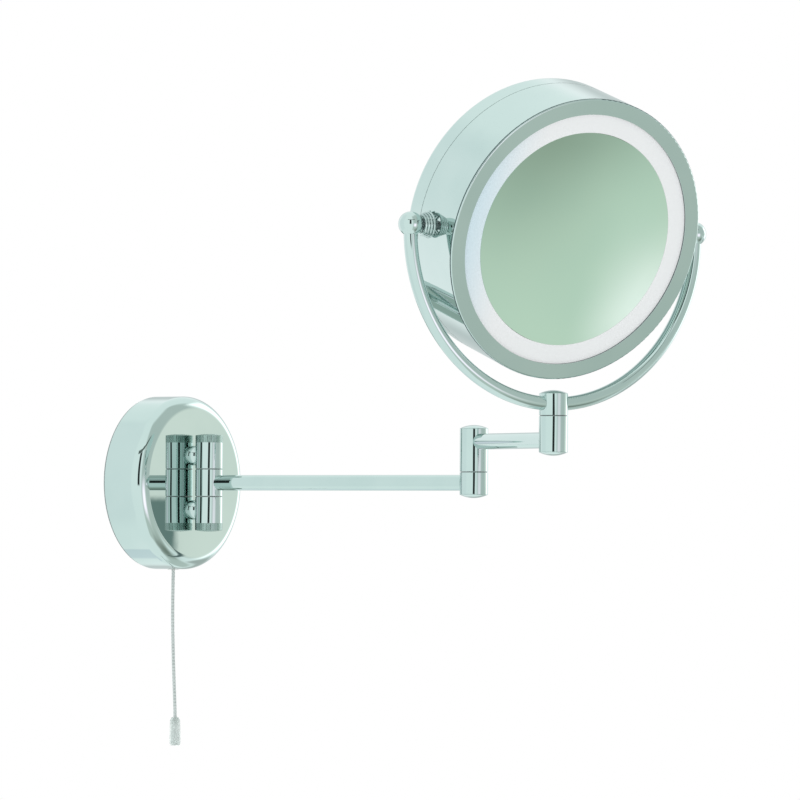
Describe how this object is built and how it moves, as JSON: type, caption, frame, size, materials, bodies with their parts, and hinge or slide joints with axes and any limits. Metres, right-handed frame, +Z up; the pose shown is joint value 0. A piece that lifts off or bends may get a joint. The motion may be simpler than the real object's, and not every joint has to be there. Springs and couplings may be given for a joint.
{
  "type": "extendable shaving mirror",
  "caption": "Wall-mounted round lit magnifying mirror in a tilting yoke on a double hinged arm, with a chrome round wall cover and a pull-cord switch.",
  "frame": {"origin": "centre of the mounting plate's back face, on the wall plane", "axes": "+Y into the wall, so the mirror reaches out along -Y; +X right when facing the wall; +Z up"},
  "size_m": [0.2323, 0.4544, 0.4707],
  "materials": {
    "chrome": "polished",
    "plated_steel": "zinc plated",
    "spring_steel": "bright",
    "brass": "turned",
    "mirror_glass": "polished",
    "frosted_diffuser": "frosted",
    "white_plastic": "moulded",
    "nylon": "moulded",
    "rubber": "moulded",
    "circuit_board": "solder mask",
    "led": "moulded",
    "cable_jacket": "extruded",
    "cord": "braided nylon",
    "clear_plastic": "translucent"
  },
  "bodies": {
    "wall_base": {"mounting_plate": "plated_steel", "wall_gasket": "rubber", "wall_cover": "chrome", "cover_screws": "plated_steel", "arm_strap": "plated_steel", "base_screws": "plated_steel", "cable_grommet": "rubber", "terminal_block": "white_plastic", "terminal_screws": "brass", "led_driver": "white_plastic", "base_wiring": "cable_jacket", "switch_housing": "white_plastic", "switch_spring": "spring_steel", "cord_bush": "white_plastic", "shoulder_knuckles": "chrome", "stub_collars": "chrome", "stub_nuts": "plated_steel", "shoulder_pin": "plated_steel", "shoulder_caps": "chrome"},
    "pull": {"switch_plunger": "white_plastic", "pull_cord": "cord", "pull_knob": "clear_plastic"},
    "long_arm": {"shoulder_barrel": "chrome", "shoulder_washers": "nylon", "long_arm_tube": "chrome", "elbow_lower_barrel": "chrome", "elbow_cap_bottom": "chrome", "elbow_pin": "plated_steel", "elbow_nut": "plated_steel", "long_arm_lead": "cable_jacket"},
    "short_arm": {"elbow_upper_barrel": "chrome", "elbow_cap_top": "chrome", "elbow_washer": "nylon", "short_arm_tube": "chrome", "wrist_lower_barrel": "chrome", "wrist_cap_bottom": "chrome", "short_arm_lead": "cable_jacket"},
    "yoke": {"wrist_upper_barrel": "chrome", "wrist_cap_top": "chrome", "wrist_washer": "nylon", "wrist_pin": "plated_steel", "wrist_nut": "plated_steel", "yoke_tube": "chrome", "yoke_balls": "chrome", "pivot_studs": "plated_steel", "pivot_springs": "spring_steel", "pivot_nuts": "plated_steel", "yoke_lead": "cable_jacket"},
    "head": {"head_casing": "chrome", "front_bezel": "chrome", "rear_cover": "chrome", "rear_cover_screws": "plated_steel", "rear_seal": "rubber", "light_diffuser": "frosted_diffuser", "magnifying_mirror": "mirror_glass", "mirror_pad": "rubber", "mirror_carrier": "white_plastic", "led_board": "circuit_board", "leds": "led", "head_lead": "cable_jacket"}
  },
  "joints": [
    {"name": "shoulder_swing", "type": "hinge", "parent": "wall_base", "child": "long_arm", "pos_m": [0, -0.0482, 0], "axis": [0, 0, 1], "range_deg": [-90, 90]},
    {"name": "elbow_swing", "type": "hinge", "parent": "long_arm", "child": "short_arm", "pos_m": [0, -0.2822, 0], "axis": [0, 0, 1], "range_deg": [-124.5, 175.5]},
    {"name": "wrist_swivel", "type": "hinge", "parent": "short_arm", "child": "yoke", "pos_m": [-0.04736, -0.38148, 0.029], "axis": [0, 0, 1], "range_deg": [-152.5, 147.5]},
    {"name": "head_tilt", "type": "hinge", "parent": "yoke", "child": "head", "pos_m": [-0.04736, -0.38148, 0.175], "axis": [0.9205, -0.3907, 0], "range_deg": [-97.5, 62.5]},
    {"name": "cord_pull", "type": "slide", "parent": "wall_base", "child": "pull", "axis": [0, 0, -1], "range_m": [0, 0.005], "stiffness_N_per_m": 800, "springref_m": -0.002, "deforming": ["switch_spring"]}
  ]
}
